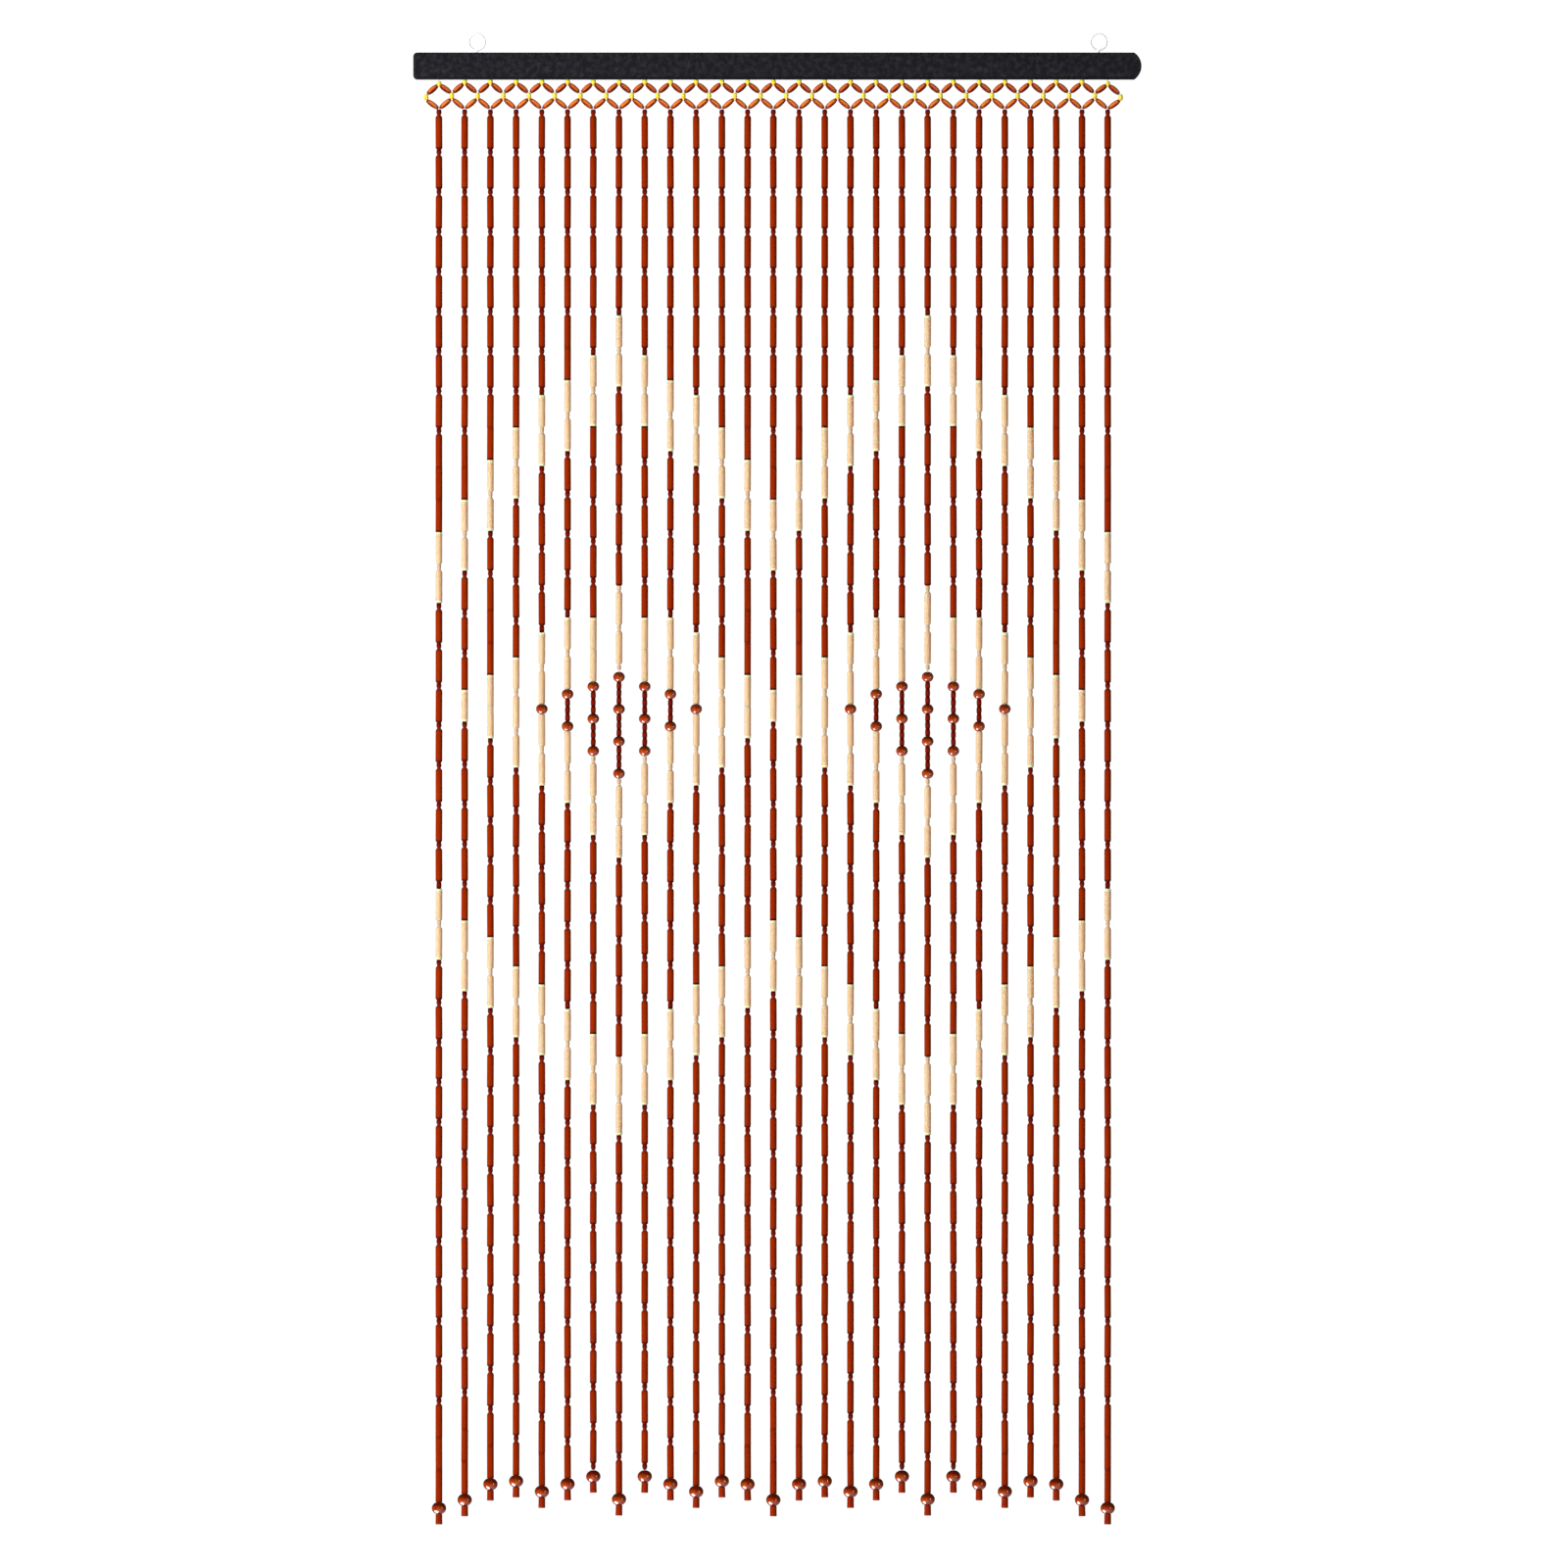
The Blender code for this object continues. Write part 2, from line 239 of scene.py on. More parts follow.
def black_stained_wood():
    """Black stain with faint grey scuffs and grain, and painted shade along the long edges,
    near-black at the bottom one.
    """
    material, tree, shader = new_material("black_stained_wood", Specular_IOR_Level=0.12)
    place = add_node(tree, "TexCoord").outputs["Object"]
    along = add_node(tree, "Mapping", Vector=place, Scale=(0.05, 1.0, 1.0)).outputs[0]
    grain = add_node(tree, "TexNoise", Vector=along, Scale=900.0, Detail=4.0).outputs["Fac"]
    clouds = add_node(tree, "TexNoise", Vector=place, Scale=150.0, Detail=5.0, Roughness=0.6)
    scuffs = remap(tree, clouds.outputs["Fac"], 0.44, 0.74)
    stain = mix_colours(tree, scuffs, (0.0105, 0.0101, 0.0136, 1), (0.0350, 0.0341, 0.0394, 1))
    streaks = remap(tree, grain, 0.35, 0.75, 0, 0.6)
    stain = mix_colours(tree, streaks, stain, (0.0096, 0.0096, 0.0123, 1))
    # Painted shade: a near-black band along the bottom edge and a fainter one along the top edge.
    height = add_node(tree, "SeparateXYZ", Vector=place).outputs["Z"]
    from_low = remap(tree, height, bar_low.z + 0.0012, bar_low.z + 0.0036, 1.0, 0.0)
    from_high = remap(tree, height, bar_high.z - 0.0020, bar_high.z - 0.0006, 0.0, 0.5)
    painted_shade = calculate(tree, "MAXIMUM", from_low, from_high)
    colour = mix_colours(tree, painted_shade, stain, (0.0022, 0.0022, 0.0039, 1))
    tree.links.new(colour, shader.inputs["Base Color"])
    tree.links.new(remap(tree, scuffs, 0, 1, 0.55, 0.72), shader.inputs["Roughness"])
    add_bump(tree, shader, grain, 0.35, 0.0002)
    return material


hand_in(bar, "top_bar", black_stained_wood())


# The two screw eyes
# Each is a length of steel wire with bright zinc plate: a straight shank turned into the bar's
# top, bent over and closed to a ring whose cut end stops just short of the shank.
ring_radius = 0.0099
bend_radius = 0.0018
ring_end_gap = math.radians(13)


def bend_screw_eye(name, node):
    """Extrude the wire up its shank, then spin it round the bend and round the ring."""
    low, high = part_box(node)
    x = (low.x + high.x) / 2
    ring_z = high.z - wire_radius - ring_radius
    reach = ring_radius + bend_radius
    bend_z = ring_z - math.sqrt(reach ** 2 - bend_radius ** 2)
    turn = math.atan2(ring_z - bend_z, bend_radius)
    deselect_all()
    bpy.ops.mesh.primitive_circle_add(
        vertices=16, radius=wire_radius, fill_type="NGON", location=(x, 0, low.z)
    )
    eye = bpy.context.object
    eye.name = name
    bpy.ops.object.transform_apply(location=True)
    edit(eye, "FACE")
    bpy.ops.mesh.select_all(action="SELECT")
    bpy.ops.mesh.extrude_region_move(TRANSFORM_OT_translate={"value": (0, 0, bend_z - low.z)})
    bpy.ops.mesh.spin(
        steps=8, angle=-turn, center=(x + bend_radius, 0, bend_z), axis=(0, 1, 0)
    )
    bpy.ops.mesh.spin(
        steps=56,
        angle=1.5 * math.pi - ring_end_gap + turn,
        center=(x, 0, ring_z),
        axis=(0, 1, 0),
    )
    bpy.ops.mesh.select_all(action="SELECT")
    bpy.ops.mesh.remove_doubles(threshold=tiny)
    close_edit(40)
    return eye


def bright_zinc():
    """Bright zinc plate, a little greyer in patches of wear."""
    material, tree, shader = new_material("bright_zinc", Metallic=0.05)
    place = add_node(tree, "TexCoord").outputs["Object"]
    wear_and_highlight = add_node(tree, "TexNoise", Vector=place, Scale=420.0, Detail=3.0).outputs["Fac"]
    colour = mix_colours(
        tree, remap(tree, wear_and_highlight, 0.5, 0.75), (0.97, 0.97, 0.98, 1), (0.84, 0.84, 0.87, 1)
    )
    tree.links.new(colour, shader.inputs["Base Color"])
    tree.links.new(remap(tree, wear_and_highlight, 0.3, 0.8, 0.3, 0.5), shader.inputs["Roughness"])
    add_bump(tree, shader, wear_and_highlight, 0.2, 0.0001)
    return material


zinc = bright_zinc()
for side in ("left", "right"):
    eye = bend_screw_eye("wire_eye_" + side, "screw_eye_" + side)
    hand_in(eye, "screw_eye_" + side, zinc)


# The yellow beads of the net
# Small beads of glossy yellow plastic. A round one hangs from the bar over each string, and a
# longer one between each pair of strings gathers the threads of four oval beads.
net_low, net_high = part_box("bead_net")
string_count = 27
string_pitch = 0.03179
net_middle = (net_low.x + net_high.x) / 2
underside = bar_low.z
top_yellow_height = 0.0068
bar_gap = 0.0003
low_yellow_drop = 0.0201
hole_reach = 0.0029
root_drop = 0.0364
outer_droop = 0.0020
top_yellow_rows = ((1.3, -3.3), (2.3, -2.4), (2.9, -0.8), (3.2, 0.9), (3.1, 2.3), (2.5, 3.4))
low_yellow_rows = ((1.5, -4.0), (2.4, -3.1), (2.85, -1.4), (2.85, 1.4), (2.4, 3.1), (1.5, 4.0))
chance = random.Random(27)


def string_x(index):
    return net_middle + (index - (string_count - 1) / 2) * string_pitch


def top_yellow_place(index):
    droop = outer_droop if index in (0, string_count - 1) else 0
    return Vector((string_x(index), 0, underside - bar_gap - top_yellow_height / 2 - droop))


def low_yellow_place(index):
    droop = outer_droop if index in (0, string_count) else 0
    return Vector((string_x(index) - string_pitch / 2, 0, underside - low_yellow_drop - droop))


def root_place(index):
    return Vector((string_x(index), 0, underside - root_drop))


def turn_bead(sides, rows, hole=0.0):
    """Turn a bead on its Z axis: a disc at its foot is raised and widened ring by ring.

    The rows are its (radius, height) from the foot up, in millimetres. A hole of the given
    radius is drilled a little way in at both ends.
    """
    rows = [(radius / 1000, height / 1000) for radius, height in rows]
    foot_radius, height = rows[0]
    deselect_all()
    bpy.ops.mesh.primitive_circle_add(
        vertices=sides, radius=foot_radius, fill_type="NGON", location=(0, 0, height)
    )
    bead = bpy.context.object
    bpy.ops.object.transform_apply(location=True)
    edit(bead, "FACE")
    bpy.ops.mesh.select_all(action="SELECT")
    radius = foot_radius
    for next_radius, next_height in rows[1:]:
        bpy.ops.mesh.extrude_region_move(
            TRANSFORM_OT_translate={"value": (0, 0, next_height - height)}
        )
        growth = next_radius / radius
        bpy.ops.transform.resize(value=(growth, growth, 1), center_override=(0, 0, next_height))
        radius, height = next_radius, next_height
    bpy.ops.mesh.select_all(action="SELECT")
    bpy.ops.mesh.normals_make_consistent(inside=False)
    if hole:
        for up in (-1, 1):
            rim = foot_radius if up < 0 else radius
            pick(bead, "FACE", lambda face: face.normal.z * up > 0.99 and len(face.verts) == sides)
            bpy.ops.mesh.inset(thickness=rim - hole / 1000)
            bpy.ops.mesh.extrude_region_move(
                TRANSFORM_OT_translate={"value": (0, 0, -up * hole / 1000)}
            )
    bpy.ops.object.mode_set(mode="OBJECT")
    return bead


def mark(mesh, name, value):
    """Note a number on every point of a bead, for its material."""
    attribute = mesh.attributes.new(name, "FLOAT", "POINT")
    attribute.data.foreach_set("value", [value] * len(mesh.vertices))


def thread_on(name, stock, smooth_angle=40):
    """Copy each bead of the stock to its places, and join the copies to one piece.

    The stock has (bead, places) pairs. Every point keeps its place on its own bead, and every
    copy gets a tone of its own, for the material.
    """
    copies = []
    for bead, places in stock:
        own = bead.data.attributes.new("bead_point", "FLOAT_VECTOR", "POINT")
        own.data.foreach_set("vector", [value for vert in bead.data.vertices for value in vert.co])
        for place in places:
            copy = bead.copy()
            copy.data = bead.data.copy()
            copy.data.transform(place)
            mark(copy.data, "tone", chance.random())
            copies.append(copy)
        bpy.data.objects.remove(bead, do_unlink=True)
    for copy in copies:
        bpy.context.scene.collection.objects.link(copy)
    deselect_all()
    for copy in copies:
        copy.select_set(True)
    threaded = copies[0]
    bpy.context.view_layer.objects.active = threaded
    bpy.ops.object.join()
    threaded.name = name
    bpy.ops.object.shade_smooth_by_angle(angle=math.radians(smooth_angle))
    return threaded


def bead_coordinates(tree, stretch):
    """A bead's own points, stretched and moved by its tone, so that no two beads are alike."""
    own = add_node(tree, "Attribute", {"attribute_name": "bead_point"}).outputs["Vector"]
    tone = add_node(tree, "Attribute", {"attribute_name": "tone"}).outputs["Fac"]
    shift = add_node(tree, "CombineXYZ", X=tone, Y=tone, Z=tone).outputs[0]
    moved = add_node(tree, "Mapping", Vector=own, Location=shift, Scale=stretch).outputs[0]
    return own, tone, moved


def yellow_plastic():
    """Glossy yellow plastic that glows where light gets into it, with painted shade that turns it
    orange towards its foot.
    """
    material, tree, shader = new_material(
        "yellow_plastic",
        Roughness=0.15,
        Coat_Weight=0.3,
        Subsurface_Weight=0.6,
        Subsurface_Scale=0.004,
        Subsurface_Radius=(1.0, 0.9, 0.4),
    )
    own, tone, moved = bead_coordinates(tree, (1, 1, 1))
    swirl = add_node(tree, "TexNoise", Vector=moved, Scale=300.0, Detail=2.0).outputs["Fac"]
    colour = mix_colours(
        tree, remap(tree, swirl, 0.35, 0.7, 0, 0.5), (1.0, 0.84, 0.100, 1), (1.0, 0.72, 0.040, 1)
    )
    height = add_node(tree, "SeparateXYZ", Vector=own).outputs["Z"]
    # Painted shade: the lower part of each bead turns orange, as if lit from above.
    foot = remap(tree, height, -0.0032, 0.0014, 0.85, 0)
    colour = mix_colours(tree, foot, colour, (1.0, 0.48, 0.015, 1))
    colour = mix_colours(tree, remap(tree, tone, 0, 1, 0, 0.25), colour, (1.0, 0.62, 0.03, 1))
    tree.links.new(colour, shader.inputs["Base Color"])
    return material


yellow = yellow_plastic()
top_places = [Matrix.Translation(top_yellow_place(index)) for index in range(string_count)]
top_bead = turn_bead(12, top_yellow_rows, hole=0.9)
top_yellow = thread_on("top_yellow_beads", [(top_bead, top_places)])
hand_in(top_yellow, "bead_net", yellow)
low_places = [Matrix.Translation(low_yellow_place(index)) for index in range(string_count + 1)]
low_bead = turn_bead(12, low_yellow_rows, hole=0.9)
low_yellow = thread_on("low_yellow_beads", [(low_bead, low_places)])
hand_in(low_yellow, "bead_net", yellow)


# The oval beads of the net
# Spindles of turned wood, dipped in orange-brown stain and gloss lacquer. Two slant down from
# each top bead to its neighbours in the row below, and two more slant in to each string's root.
def round_rows(width, height, flat, rings, fullness=2.0):
    """The rows of an oval or ball in millimetres, cut flat at both ends, where its hole opens.

    With a fullness of 2 its outline is an ellipse, and with more it is squarer.
    """
    power = 2 / fullness
    end = math.acos((flat / width) ** (1 / power))
    full_half = height / 2 / math.sin(end) ** power
    rows = []
    for i in range(rings + 1):
        angle = -end + 2 * end * i / rings
        rise = math.copysign(abs(math.sin(angle)) ** power, angle)
        rows.append((width / 2 * math.cos(angle) ** power, full_half * rise))
    return rows


def slanted(upper, lower):
    """The place of a bead whose hole lies on the line from one place to the other.

    Its own +X side is turned under it.
    """
    line = lower - upper
    turn = Matrix.Rotation(math.atan2(line.x, line.z), 4, "Y")
    if line.x < 0:
        turn @= Matrix.Rotation(math.pi, 4, "Z")
    return Matrix.Translation((upper + lower) / 2) @ turn


def lacquered_oval_wood(name, light, dark, wear_and_highlight, painted_shade, shade_from):
    """Orange-brown stain with fine lengthwise grain under gloss lacquer.

    A highlight is painted lighter along the crest on top, and painted shade darkens the underside,
    from a height along the bead's own X; both ends are darker too.
    """
    material, tree, shader = new_material(
        name,
        Roughness=0.5,
        Specular_IOR_Level=0.05,
        Coat_Weight=0.15,
        Coat_Roughness=0.15,
    )
    own, tone, moved = bead_coordinates(tree, (1, 1, 0.08))
    grain = add_node(tree, "TexNoise", Vector=moved, Scale=1400.0, Detail=3.0).outputs["Fac"]
    colour = mix_colours(tree, remap(tree, grain, 0.35, 0.7), dark, light)
    colour = mix_colours(tree, remap(tree, tone, 0, 1, 0, 0.3), colour, dark)
    parts = add_node(tree, "SeparateXYZ", Vector=own).outputs
    # Painted highlight: a lighter streak along the crest.
    from_crest = calculate(tree, "ABSOLUTE", calculate(tree, "ADD", parts["X"], 0.0010))
    colour = mix_colours(tree, remap(tree, from_crest, 0, 0.0013, 0.5, 0), colour, wear_and_highlight)
    # Darker towards both ends, and painted shade on the underside, the bead's own +X side.
    ends = remap(tree, calculate(tree, "ABSOLUTE", parts["Z"]), 0.0044, 0.0074, 0, 0.9)
    under = remap(tree, parts["X"], shade_from, shade_from + 0.0020, 0, 0.93)
    colour = mix_colours(tree, calculate(tree, "MAXIMUM", ends, under), colour, painted_shade)
    tree.links.new(colour, shader.inputs["Base Color"])
    add_bump(tree, shader, grain, 0.15, 0.0001)
    return material


hole_drop = Vector((0, 0, -hole_reach))
upper_places = []
lower_places = []
for index in range(string_count):
    for low in (low_yellow_place(index), low_yellow_place(index + 1)):
        upper_places.append(slanted(top_yellow_place(index), low - hole_drop))
        lower_places.append(slanted(low + hole_drop, root_place(index)))
upper_rows = round_rows(width=7.1, height=16.4, flat=3.2, rings=8, fullness=2.2)
upper_oval = turn_bead(12, upper_rows, hole=0.7)
upper_ovals = thread_on("upper_oval_beads", [(upper_oval, upper_places)])
upper_wood = lacquered_oval_wood(
    "brown_oval_wood",
    light=(0.717, 0.123, 0.0070, 1),
    dark=(0.455, 0.0438, 0.0018, 1),
    wear_and_highlight=(0.787, 0.245, 0.0788, 1),
    painted_shade=(0.0788, 0.0018, 0.0009, 1),
    shade_from=-0.0004,
)
hand_in(upper_ovals, "bead_net", upper_wood)
lower_rows = round_rows(width=6.7, height=17.4, flat=3.0, rings=8, fullness=2.2)
lower_oval = turn_bead(12, lower_rows, hole=0.7)
lower_ovals = thread_on("lower_oval_beads", [(lower_oval, lower_places)])
lower_wood = lacquered_oval_wood(
    "orange_oval_wood",
    light=(0.805, 0.210, 0.0158, 1),
    dark=(0.578, 0.0875, 0.0035, 1),
    wear_and_highlight=(0.857, 0.333, 0.0788, 1),
    painted_shade=(0.166, 0.0018, 0.0009, 1),
    shade_from=-0.0002,
)
hand_in(lower_ovals, "bead_net", lower_wood)


# The dark tube beads
# Dowel cut to 40 mm and stained red-brown, which takes darker on the cut ends; over a small bead
# the foot is darker still with painted shade. An end that meets a small bead or a ball is eased
# down to it, and one that bears on another tube is cut square.
bead_length = {"T": 40.0, "s": 9.2, "t": 39.0, "p": 9.4, "B": 14.0, "e": 8.6, "E": 15.0, "L": 12.5}
first_bead_drop = 0.0365
tube_radius = 4.25
tube_tilt = 0.006
small_bead_tilt = 0.03
motif_strings = (7, 19)

# Each string's beads from the top down: T dark tube, s dark spacer, t pale tube, p pale spacer,
# B ball, e seed bead, E end ball, L tail bead; 5*Ts is five times Ts. The first row is a
# lozenge's middle string, and each further row is one string farther from it.
string_charts = (
    "s 5*Ts tpt s 4*Ts T ptptp B 3*eeeB ptpt s 4*Ts T ptpt s 8*Ts T EL",
    "s 6*Ts tpt 4*Ts T tt B 2*eeeB ptpt s 4*Ts T tpt s 9*Ts EL",
    "s 5*Ts TT tpt s 4*Ts tpt B eeeB tpt s 5*Ts tpt s 9*Ts T EL",
    "s 7*Ts tpt s 4*Ts tpt B tpt s 4*Ts T tpt s 9*Ts TT EL",
    "s 7*Ts T tpt s 3*Ts T tptpt s 4*Ts T tpt s 10*Ts T EL",
    "s 7*Ts TT tpt s Ts TTT tt s 4*Ts T tpt s 10*Ts TT EL",
    "s 8*Ts TT tpt s 2*Ts T t s 4*Ts T tpt s 10*Ts TTT EL",
    "s 8*Ts TTT tpt s 7*Ts tpt s 11*Ts TTT EL",
)


def string_letters(index):
    """The letters of one string's beads, with the chart's repeats written out."""
    away = min(abs(index - middle) for middle in motif_strings)
    letters = ""
    for word in string_charts[away].split():
        count, _, beads = word.rpartition("*")
        letters += beads * int(count or 1)
    return letters


def hung(x, z, tilt):
    """The place of a bead on a string: a hair off the plumb line, and turned at random."""
    lean = Matrix.Rotation(chance.uniform(-tilt, tilt), 4, "X")
    lean @= Matrix.Rotation(chance.uniform(-tilt, tilt), 4, "Y")
    turn = Matrix.Rotation(chance.uniform(0, math.tau), 4, "Z")
    return Matrix.Translation((x, 0, z)) @ lean @ turn


# Every bead's place, listed by three letters: the bead above, its own, and the bead below.
bead_places = {}
string_ends = []
for index in range(string_count):
    z = underside - first_bead_drop
    letters = "-" + string_letters(index) + "-"
    for i in range(1, len(letters) - 1):
        length = bead_length[letters[i]] / 1000
        tilt = tube_tilt if letters[i] in "Tt" else small_bead_tilt
        place = hung(string_x(index), z - length / 2, tilt)
        bead_places.setdefault(letters[i - 1 : i + 2], []).append(place)
        z -= length
    string_ends.append(z)


def places_of(letter):
    """The places of all beads with this letter."""
    return [place for key, places in bead_places.items() if key[1] == letter for place in places]


# How a tube's end is finished, by the bead that it meets: its outline as (radius, way in from the
# end) in millimetres, and how strongly the ring at that end shows: darker end grain on a dark
# tube, with painted shade added at an eased foot, and a painted highlight on a pale tube.
# Painted shade: the eased foot's ring is far stronger than the domed head's.
eased_foot = (((3.0, -0.5), (3.7, 0.4), (tube_radius, 1.4)), 0.8)
domed_head = (((2.5, -1.4), (3.45, -0.2), (tube_radius, 1.2)), 0.25)
square_end = (((4.0, 0.0), (tube_radius, 0.4)), 0.3)
ringed_end = (((4.1, 0.0), (tube_radius, 0.3)), 1.0)
dark_feet = {"s": eased_foot, "p": eased_foot, "T": square_end, "E": square_end, "t": ringed_end}
dark_heads = {"s": domed_head, "T": square_end, "t": ringed_end}


def marked_bead(sides, rows, foot_ring, head_ring, hole=0.0):
    """Turn a bead, and mark on it how strongly each end is ringed with another colour."""
    bead = turn_bead(sides, rows, hole)
    mark(bead.data, "foot_ring", foot_ring)
    mark(bead.data, "head_ring", head_ring)
    return bead


def cut_tube(length, foot, head):
    """A dowel's length with both its ends finished."""
    half = length / 2
    (foot_rows, foot_ring), (head_rows, head_ring) = foot, head
    rows = [(radius, way_in - half) for radius, way_in in foot_rows]
    rows += [(radius, half - way_in) for radius, way_in in reversed(head_rows)]
    return marked_bead(12, rows, foot_ring, head_ring)


def tube_stock(letter, feet, heads):
    """A tube for each kind of joint that its letter has in the strings, with its places."""
    stock = []
    for (above, own, below), places in bead_places.items():
        if own == letter:
            stock.append((cut_tube(bead_length[letter], feet[below], heads[above]), places))
    return stock


def end_rings(tree, own, half_length, reach):
    """Where a bead's two ends are ringed with another colour, as strongly as is marked on it."""
    along = add_node(tree, "SeparateXYZ", Vector=own).outputs["Z"]
    outer = half_length - reach / 2
    inner = half_length - reach
    head = add_node(tree, "Attribute", {"attribute_name": "head_ring"}).outputs["Fac"]
    foot = add_node(tree, "Attribute", {"attribute_name": "foot_ring"}).outputs["Fac"]
    at_head = calculate(tree, "MULTIPLY", head, remap(tree, along, inner, outer))
    at_foot = calculate(tree, "MULTIPLY", foot, remap(tree, along, -outer, -inner, 1, 0))
    return calculate(tree, "ADD", at_head, at_foot)


def red_stained_wood(name, half_length, light, dark, ring_colour):
    """Red-brown stain over lengthwise grain with a few browner streaks, ringed at the cut ends."""
    material, tree, shader = new_material(name, Specular_IOR_Level=0.03)
    own, tone, moved = bead_coordinates(tree, (1, 1, 0.035))
    grain = add_node(tree, "TexNoise", Vector=moved, Scale=1500.0, Detail=4.0).outputs["Fac"]
    colour = mix_colours(tree, remap(tree, grain, 0.3, 0.72), dark, light)
    streak = add_node(tree, "TexNoise", Vector=moved, Scale=420.0, Detail=2.0).outputs["Fac"]
    brown = [(a + b) / 2 for a, b in zip(dark, light)]
    brown[1] *= 1.7
    colour = mix_colours(tree, remap(tree, streak, 0.52, 0.72, 0, 0.7), colour, brown)
    colour = mix_colours(tree, remap(tree, tone, 0, 1, 0, 0.45), colour, dark)
    rings = end_rings(tree, own, half_length, reach=0.0028)
    colour = mix_colours(tree, rings, colour, ring_colour)
    tree.links.new(colour, shader.inputs["Base Color"])
    tree.links.new(remap(tree, grain, 0.3, 0.7, 0.65, 0.5), shader.inputs["Roughness"])
    add_bump(tree, shader, grain, 0.25, 0.0001)
    return material


tube_wood = red_stained_wood(
    "red_stained_tube_wood",
    half_length=0.0200,
    light=(0.324, 0.0262, 0.0002, 1),
    dark=(0.228, 0.0123, 0.0002, 1),
    ring_colour=(0.0481, 0.0009, 0.0005, 1),
)
dark_tubes = thread_on("dark_tube_beads", tube_stock("T", dark_feet, dark_heads), 30)
hand_in(dark_tubes, "bead_net", tube_wood)


# The dark spacers and seed beads
# Small turned beads of deep red wood. A spacer sits up against the tube above it and leaves its
# knot showing under it, but beside a pale tube its end is square. Seeds join a medallion's balls.

# The halves of a spacer: each has its outline from the foot up, as (radius, height) in
# millimetres, and how strongly its end is ringed.
spacer_foot = (((2.5, -2.1), (3.0, -1.1), (3.25, 0.3)), 0.3)
spacer_head = (((3.2, 1.6), (2.85, 3.3), (2.6, 4.1)), 0.5)
square_foot = (((2.7, -4.4), (3.0, -3.9), (3.2, 0.3)), 0.9)
square_head = (((3.2, 1.6), (3.05, 4.1), (2.75, 4.5)), 0.8)
seed_rows = ((2.5, -4.65), (3.1, -3.0), (3.25, -0.9), (3.25, 0.9), (3.1, 3.0), (2.5, 4.65))


def dark_red_wood(name, half_length, reach):
    """Deep red stain, nearly black where it gathers at the marked ends."""
    material, tree, shader = new_material(name, Roughness=0.45, Specular_IOR_Level=0.05)
    own, tone, moved = bead_coordinates(tree, (1, 1, 0.15))
    grain = add_node(tree, "TexNoise", Vector=moved, Scale=1200.0, Detail=3.0).outputs["Fac"]
    colour = mix_colours(
        tree, remap(tree, grain, 0.3, 0.7), (0.158, 0.0053, 0.0003, 1), (0.219, 0.0105, 0.0005, 1)
    )
    colour = mix_colours(tree, remap(tree, tone, 0, 1, 0, 0.5), colour, (0.131, 0.0026, 0.0005, 1))
    rings = end_rings(tree, own, half_length, reach)
    colour = mix_colours(tree, rings, colour, (0.0333, 0.0010, 0.0010, 1))
    tree.links.new(colour, shader.inputs["Base Color"])
    add_bump(tree, shader, grain, 0.15, 0.0001)
    return material


spacer_stock = []
for (above, own, below), places in bead_places.items():
    if own == "s":
        foot_rows, foot_ring = square_foot if below == "t" else spacer_foot
        head_rows, head_ring = square_head if above == "t" else spacer_head
        spacer_stock.append((marked_bead(10, foot_rows + head_rows, foot_ring, head_ring), places))
spacers = thread_on("dark_spacer_beads", spacer_stock)
spacer_wood = dark_red_wood("spacer_wood", half_length=0.0046, reach=0.0040)
hand_in(spacers, "bead_net", spacer_wood)


def nudged_to_balls(letter, step):
    """The places of a letter's beads, those next to a ball moved up or down against it."""
    nudged = []
    for (above, own, below), places in bead_places.items():
        if own == letter:
            rise = step * ((above == "B") - (below == "B"))
            nudged += [Matrix.Translation((0, 0, rise)) @ place for place in places]
    return nudged


seed = marked_bead(10, seed_rows, foot_ring=0.8, head_ring=0.8)
seeds = thread_on("seed_beads", [(seed, nudged_to_balls("e", step=0.0006))])
seed_wood = dark_red_wood("seed_wood", half_length=0.0046, reach=0.0024)
hand_in(seeds, "bead_net", seed_wood)


# The pale tube beads and their spacers
# The same dowel left its natural colour under satin lacquer. Where its square end meets a dark
# bead, a light ring is painted at that end as a highlight on its edge. The spacers between pale
# tubes are pale too, and pinker.
plain_end = (((3.8, 0.1), (tube_radius, 0.7)), 0.0)
pale_foot = (eased_foot[0], 0.0)
pale_head = (domed_head[0], 0.0)
ball_end = (((2.6, -1.0), (3.6, -0.4), (tube_radius, 0.6)), 0.0)
pale_feet = {"p": pale_foot, "T": ringed_end, "s": ringed_end, "t": plain_end, "B": ball_end}
pale_heads = {"p": pale_head, "T": ringed_end, "s": ringed_end, "t": plain_end, "B": ball_end}
pale_spacer_rows = ((1.9, -2.1), (2.5, -1.1), (2.75, 0.4), (2.75, 1.8), (2.4, 4.1))


def natural_wood():
    """Cream wood with soft lengthwise grain, a little translucent, with a painted highlight ringed
    at its marked ends.
    """
    material, tree, shader = new_material(
        "natural_wood",
        Specular_IOR_Level=0.06,
        Subsurface_Weight=0.85,
        Subsurface_Scale=0.012,
        Subsurface_Radius=(1.0, 0.7, 0.5),
    )
    own, tone, moved = bead_coordinates(tree, (1, 1, 0.03))
    grain = add_node(tree, "TexNoise", Vector=moved, Scale=1300.0, Detail=4.0).outputs["Fac"]
    colour = mix_colours(
        tree, remap(tree, grain, 0.3, 0.75), (0.621, 0.446, 0.271, 1), (0.709, 0.534, 0.341, 1)
    )
    colour = mix_colours(tree, remap(tree, tone, 0, 1, 0, 0.35), colour, (0.612, 0.420, 0.254, 1))
    # Painted highlight: a light ring at each marked end.
    rings = end_rings(tree, own, half_length=0.0195, reach=0.0034)
    colour = mix_colours(tree, rings, colour, (0.875, 0.814, 0.473, 1))
    tree.links.new(colour, shader.inputs["Base Color"])
    tree.links.new(remap(tree, grain, 0.3, 0.7, 0.55, 0.45), shader.inputs["Roughness"])
    add_bump(tree, shader, grain, 0.2, 0.0001)
    return material


